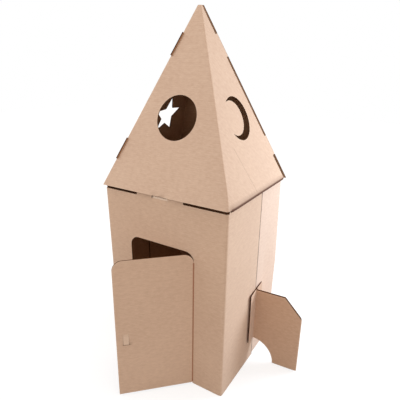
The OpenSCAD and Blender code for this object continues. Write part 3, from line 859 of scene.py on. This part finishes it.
# Door flap
def door_flap():
    """The flap's outline with two round top corners, and the slit round three sides of the pull tab."""
    shoulder = DOOR_FOOT + DOOR_H - DOOR_R
    first = np.degrees(np.arccos((DOOR_R - CREASE_GAP) / DOOR_R))
    rim = outline((-DOOR_W, DOOR_FOOT), (-CREASE_GAP, DOOR_FOOT),
                  bow(-DOOR_R, shoulder, DOOR_R, first, 90, CREASE_CORNER_PARTS),
                  bow(-DOOR_W + DOOR_R, shoulder, DOOR_R, 90, 180, FREE_CORNER_PARTS))
    p0, p1 = PULL_X - PULL_W / 2, PULL_X + PULL_W / 2
    foot, top = PULL_Z - PULL_FOOT, PULL_Z + PULL_H
    slit = outline((p0 - PULL_CUT, top), (p0 - PULL_CUT, foot), (p1 + PULL_CUT, foot), (p1 + PULL_CUT, top),
                   (p1, top), (p1, PULL_Z), (p0, PULL_Z), (p0, top))
    # Painted shadow line under the lifted pull tab, and a painted highlight on the tab
    drop, *fade = PULL_PAINTED_SHADOW
    shade = ((p0, PULL_Z - drop), (p1, PULL_Z - drop), *fade)
    pale = ((p0, PULL_Z), (p1, top - PULL_HIGHLIGHT_END), PULL_PAINTED_HIGHLIGHT)
    sheet_of_card("door_card", [rim, slit], [], door_place, DOOR_SKIN, "door", "door",
                  painted_shades=[shade], painted_highlights=[pale])


def door_crease():
    """The crease: a narrow closed skin over the gap, from the wall's face round to the door's face.

    Its section runs across both faces, moved off them by SKIN_PROUD, and back again, moved off by SKIN_BACK. At
    the crease itself it is moved along the middle of both normals.
    """
    cos, sin, rows = np.cos(DOOR_OPEN), np.sin(DOOR_OPEN), CREASE_ROWS
    c = np.linspace(-CREASE_HALF, CREASE_HALF, CREASE_POINTS)
    z = np.linspace(DOOR_FOOT + CREASE_FOOT, DOOR_FOOT + DOOR_H - DOOR_R + CREASE_HEAD, rows)
    on_wall = c[:, None] >= 0
    wall = np.stack([DOOR_X + c, np.full(len(c), FRONT_Y)], 1)
    leaf = np.stack([DOOR_X + c * cos, FRONT_Y + c * sin], 1)
    line = np.where(on_wall, wall, leaf)
    way = np.where(on_wall, [0.0, -1.0], [sin, -cos])
    way[len(c) // 2] = np.sin(DOOR_OPEN / 2), -np.cos(DOOR_OPEN / 2)
    section = np.concatenate([line + SKIN_PROUD * way, line[::-1] + SKIN_BACK * way[::-1]])
    k = len(section)
    points = np.concatenate([np.repeat(section, rows, axis=0), np.tile(z, k)[:, None]], 1)
    chart = np.stack([np.repeat(np.arange(k, dtype=float), rows), np.tile(z, k)], 1)
    here = np.arange(k)[:, None] * rows + np.arange(rows - 1)[None]
    after = np.roll(here, -1, axis=0)
    sides = np.stack([here, after, after + 1, here + 1], 2).reshape(-1, 4)
    i = np.arange(len(c) - 1)
    caps = np.stack([i, k - 1 - i, k - 2 - i, i + 1], 1) * rows
    quads = np.concatenate([sides, caps, caps[:, ::-1] + rows - 1])
    finish = (broken_crease("kraft_crease"),)
    piece = new_mesh("door_crease", points * MM, halves(quads), [0, 0], chart * MM, finish)
    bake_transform(piece)


door_flap()
door_crease()


# Fins
def fin(name, side, node):
    """A fin's outline: one leaf with its arched foot and its root flange, and the same mirrored in the outer fold.

    The distance along the pattern is the outer fold's arc plus the way in from OUTER_X.
    """
    tip = ROOT + ARM_LEN - LEAF_GAP / 2 - FOLD_R
    fold_x = OUTER_ARC + OUTER_X
    arch = bow(FOLD_R, 0, ARCH_R, 0, 90, ARCH_PARTS)[::-1]
    half = outline((0, FIN_SHOULDER), (fold_x - FIN_TOP, FIN_H),
                   (ROOT - ROOT_ARC - LEAF_STEP, FIN_H - LEAF_DROP), (ROOT, FIN_H),
                   bow(tip - ARM_R, FIN_H - ARM_R, ARM_R, 90, 0, ARM_PARTS),
                   (tip, ARCH_R + ARM_RISE), (ROOT, ARCH_R),
                   np.stack([fold_x - arch[:, 0], arch[:, 1]], 1), (0, FOOT_RISE))
    rim = outline(half, half[::-1][1:-1] * [-1, 1])
    folds = np.concatenate([np.linspace(0, OUTER_ARC, OUTER_LINES), [OUTER_ARC + BESIDE_FOLD],
                            fold_steps(ROOT - ROOT_ARC, ROOT_ARC)])
    lines = []
    for s in folds:
        in_foot, in_outer = s < fold_x - (FOLD_R + ARCH_R), s < OUTER_ARC + OUTER_ZONE
        low = FOOT_RISE + LINE_END if in_foot else ARCH_R + 2 * LINE_END
        high = FIN_SHOULDER - 2 * LINE_END if in_outer else FIN_H - LEAF_DROP - LINE_END
        lines += [((sign * s, low), (sign * s, high)) for sign in (-1, 1)]
    sheet_of_card(name, [rim], lines, fin_folds(side), FIN_SKIN, "house", node, flip=side < 0)


fin("fin_right_card", 1, "fin_right")
fin("fin_left_card", -1, "fin_left")

# Camera, light and floor, with places and sizes of lamps and floor in metres
scene = bpy.context.scene
scene.view_settings.view_transform = "Standard"
CAMERA_PLACE = np.array([818.5, -1326.3, 1249.7]) * MM
CAMERA_TURNS = np.radians([31.3365, -19.1841, 0.8731])
SENSOR, LENS, FAR_END = 36, 34.81, 100
SKY_LEVEL, SKY_COLOUR = 1.01, (1.0, 0.94, 0.905, 1)
FLOOR_TONE, FLOOR_GLOW = (0.35, 0.35, 0.35, 1), 0.72
FLOOR_HALF, FLOOR_Z = 9.0, -0.0006

# Lamps: name, place, aim, width, power and colour
LAMPS = (
    ("key_right_back", (1.3, 0.95, 1.08), (0.2, 0, 0.8), 0.8, 21.0, (0.74, 0.86, 1.0)),
    ("fill_left", (-1.5, -1.3, 1.3), (-0.2, -0.2, 0.8), 0.9, 5.0, (0.85, 0.92, 1.0)),
    ("top_soft", (-0.4, -1.0, 2.5), (0, -0.1, 1.1), 0.9, 2.0, (0.9, 0.95, 1.0)),
)


def stand(name, data, x, y, z, place):
    """A camera or lamp in the scene with its own axes x, y and z as columns, and its place as the last column."""
    made = bpy.data.objects.new(name, data)
    turn = np.eye(4)
    turn[:3] = np.stack([x, y, z, place], 1)
    made.matrix_world = Matrix(turn.tolist())
    scene.collection.objects.link(made)
    return made


def photo_camera():
    """The photo's camera: forward from a turn about Z and a tilt, then right and up rolled about forward."""
    yaw, pitch, roll = CAMERA_TURNS
    forward = np.array([-np.sin(yaw) * np.cos(pitch), np.cos(yaw) * np.cos(pitch), np.sin(pitch)])
    right = np.array([np.cos(yaw), np.sin(yaw), 0])
    up = np.cross(right, forward)
    x, y = right * np.cos(roll) + up * np.sin(roll), up * np.cos(roll) - right * np.sin(roll)
    data = bpy.data.cameras.new("photo_camera")
    data.sensor_width, data.lens, data.clip_end = SENSOR, LENS, FAR_END
    scene.camera = stand("photo_camera", data, x, y, -forward, CAMERA_PLACE)


def area_lamp(name, place, aim, size, power, colour):
    """A round lamp whose Z axis points from its aim to its place, with its X axis level."""
    data = bpy.data.lights.new(name, "AREA")
    data.shape, data.size, data.energy, data.color = "DISK", size, power, colour
    z = np.array(place, float) - aim
    z /= np.linalg.norm(z)
    x = np.cross([0, 0, 1], z)
    x /= np.linalg.norm(x)
    stand(name, data, x, np.cross(z, x), z, place).visible_camera = False


def studio_world():
    """White where it is seen and warm sky where it only lights the scene."""
    s = Shader(bpy.data.worlds.new("studio_world"), "ShaderNodeOutputWorld")
    seen = s.add("ShaderNodeBackground", {0: WHITE, 1: 1.0}).outputs[0]
    sky = s.add("ShaderNodeBackground", {0: SKY_COLOUR, 1: SKY_LEVEL}).outputs[0]
    scene.world = s.finish(s.add("ShaderNodeMixShader", {0: s.seen_rays(), 1: sky, 2: seen}))


def pale_floor():
    """A square floor just under the part: matt, with a glow where it is seen that brings it to white."""
    s = Shader(bpy.data.materials.new("pale_floor"))
    matt = s.add("ShaderNodeBsdfDiffuse", {"Color": FLOOR_TONE}).outputs[0]
    glow = s.add("ShaderNodeEmission", {"Color": WHITE, "Strength": FLOOR_GLOW}).outputs[0]
    none = s.add("ShaderNodeEmission", {"Color": BLACK, "Strength": 0.0}).outputs[0]
    part = s.add("ShaderNodeMixShader", {0: s.seen_rays(), 1: none, 2: glow}).outputs[0]
    finish = (s.finish(s.add("ShaderNodeAddShader", {0: matt, 1: part})),)
    corners = FLOOR_HALF * np.array([[-1, -1], [1, -1], [1, 1], [-1, 1]])
    ground = np.column_stack([corners, np.full(len(corners), FLOOR_Z)])
    floor = new_mesh("pale_floor", ground, [np.array([[0, 1, 2], [0, 2, 3]])], [0], corners, finish)


photo_camera()
for lamp in LAMPS:
    area_lamp(*lamp)
studio_world()
pale_floor()
